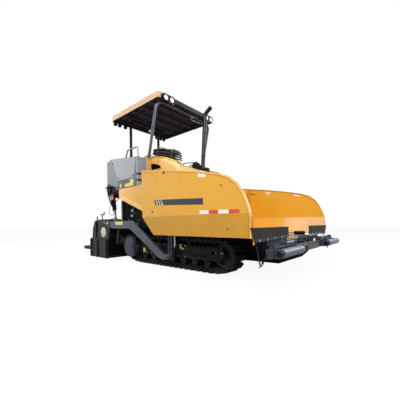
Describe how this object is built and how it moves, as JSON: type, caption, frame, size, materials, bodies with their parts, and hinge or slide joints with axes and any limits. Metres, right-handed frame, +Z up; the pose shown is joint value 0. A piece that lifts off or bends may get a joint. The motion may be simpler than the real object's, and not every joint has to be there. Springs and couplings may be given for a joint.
{
  "type": "tracked asphalt paver",
  "caption": "Crawler asphalt paver with a folding hopper, conveyors, augers and an extending, lifting screed under a canopied operator's deck.",
  "frame": {"origin": "on the ground under the middle of the overall length, midway between the tracks", "axes": "+X forward towards the hopper and push rollers, +Y to the machine's left, +Z up"},
  "size_m": [6.47, 3.492, 3.901],
  "materials": {
    "yellow_paint": "gloss enamel, light dust",
    "roof_paint": "gloss enamel",
    "slate_paint": "semi-gloss enamel",
    "black_paint": "satin enamel",
    "grey_shell": "satin enamel",
    "cabinet_paint": "satin enamel",
    "track_steel": "worn cast steel",
    "conveyor_steel": "worn steel",
    "flap_rubber": "matt rubber",
    "bright_rod": "polished",
    "zinc_steel": "dull plated",
    "seat_vinyl": "grained vinyl",
    "tarpaulin": "coated cloth",
    "engine_iron": "plain casting",
    "lamp_body": "moulded"
  },
  "bodies": {
    "chassis": {"main_frame": "black_paint", "hopper_back": "yellow_paint", "conveyor": "conveyor_steel", "wing_hinge_pins": "black_paint", "engine_block": "engine_iron", "track_wheels": "track_steel", "drive_guards": "slate_paint", "tanks": "black_paint", "flanks": "yellow_paint", "hood": "yellow_paint", "platform": "black_paint", "dash": "cabinet_paint", "seat_bases": "black_paint", "seat_cushions": "seat_vinyl", "front_hoop": "slate_paint", "rear_hoop": "black_paint", "canopy_roof": "roof_paint", "roof_lamps": "lamp_body", "exhaust": "black_paint", "deck_rails": "zinc_steel", "tarp_roll": "tarpaulin", "tow_guides": "slate_paint", "level_rods": "bright_rod", "auger_support": "black_paint", "track_left": "track_steel", "track_frame_left": "black_paint", "console_left": "grey_shell", "track_right": "track_steel", "track_frame_right": "black_paint", "console_right": "grey_shell"},
    "push_beam": {"push_beam": "slate_paint"},
    "screed": {"screed_main": "slate_paint", "tow_arm_left": "slate_paint", "tow_arm_right": "slate_paint"},
    "wing_left": {"wing_left": "yellow_paint", "wing_flap_left": "flap_rubber", "flap_bar_left": "slate_paint"},
    "push_roller_left": {"push_roller_left": "slate_paint"},
    "auger_left": {"auger_left": "conveyor_steel"},
    "extension_left": {"extension_left": "slate_paint", "walkway_left": "black_paint"},
    "lift_barrel_left": {"lift_barrel_left": "black_paint"},
    "lift_rod_left": {"lift_rod_left": "bright_rod"},
    "wing_right": {"wing_right": "yellow_paint", "wing_flap_right": "flap_rubber", "flap_bar_right": "slate_paint"},
    "push_roller_right": {"push_roller_right": "slate_paint"},
    "auger_right": {"auger_right": "conveyor_steel"},
    "extension_right": {"extension_right": "slate_paint", "walkway_right": "black_paint"},
    "lift_barrel_right": {"lift_barrel_right": "black_paint"},
    "lift_rod_right": {"lift_rod_right": "bright_rod"}
  },
  "joints": [
    {"name": "wing_left_fold", "type": "hinge", "parent": "chassis", "child": "wing_left", "pos_m": [1.835, 0.59, 0.7], "axis": [1, 0, 0], "range_deg": [0, 30]},
    {"name": "wing_right_fold", "type": "hinge", "parent": "chassis", "child": "wing_right", "pos_m": [1.835, -0.59, 0.7], "axis": [-1, 0, 0], "range_deg": [0, 30]},
    {"name": "push_beam_swing", "type": "hinge", "parent": "chassis", "child": "push_beam", "pos_m": [2.947, 0, 0.485], "axis": [0, 0, 1], "range_deg": [-4, 4]},
    {"name": "push_roller_left_spin", "type": "hinge", "parent": "push_beam", "child": "push_roller_left", "pos_m": [3.173, 1.09, 0.498], "axis": [0, 1, 0], "continuous": true},
    {"name": "push_roller_right_spin", "type": "hinge", "parent": "push_beam", "child": "push_roller_right", "pos_m": [3.173, -1.09, 0.498], "axis": [0, 1, 0], "continuous": true},
    {"name": "auger_left_spin", "type": "hinge", "parent": "chassis", "child": "auger_left", "pos_m": [-1.362, 0.61, 0.44], "axis": [0, 1, 0], "continuous": true},
    {"name": "auger_right_spin", "type": "hinge", "parent": "chassis", "child": "auger_right", "pos_m": [-1.362, -0.61, 0.44], "axis": [0, 1, 0], "continuous": true},
    {"name": "screed_lift", "type": "hinge", "parent": "chassis", "child": "screed", "pos_m": [0.705, 0, 0.23], "axis": [0, 1, 0], "range_deg": [0, 5]},
    {"name": "extension_left_slide", "type": "slide", "parent": "screed", "child": "extension_left", "axis": [0, 1, 0], "range_m": [0, 0.6]},
    {"name": "extension_right_slide", "type": "slide", "parent": "screed", "child": "extension_right", "axis": [0, -1, 0], "range_m": [0, 0.6]},
    {"name": "lift_barrel_left_swing", "type": "hinge", "parent": "chassis", "child": "lift_barrel_left", "pos_m": [-1.425, 1.22, 1.64], "axis": [0, -1, 0], "range_deg": [0, 12.85]},
    {"name": "lift_rod_left_slide", "type": "slide", "parent": "lift_barrel_left", "child": "lift_rod_left", "axis": [-0.1496, 0, 0.9888], "range_m": [0, 0.15432]},
    {"name": "lift_barrel_right_swing", "type": "hinge", "parent": "chassis", "child": "lift_barrel_right", "pos_m": [-1.425, -1.22, 1.64], "axis": [0, -1, 0], "range_deg": [0, 12.85]},
    {"name": "lift_rod_right_slide", "type": "slide", "parent": "lift_barrel_right", "child": "lift_rod_right", "axis": [-0.1496, 0, 0.9888], "range_m": [0, 0.15432]}
  ],
  "couplings": [
    {"joint": "lift_barrel_left_swing", "follows": "screed_lift", "ratio": 2.4699},
    {"joint": "lift_rod_left_slide", "follows": "screed_lift", "m_per_rad": 1.7226},
    {"joint": "lift_barrel_right_swing", "follows": "screed_lift", "ratio": 2.4699},
    {"joint": "lift_rod_right_slide", "follows": "screed_lift", "m_per_rad": 1.7226}
  ]
}
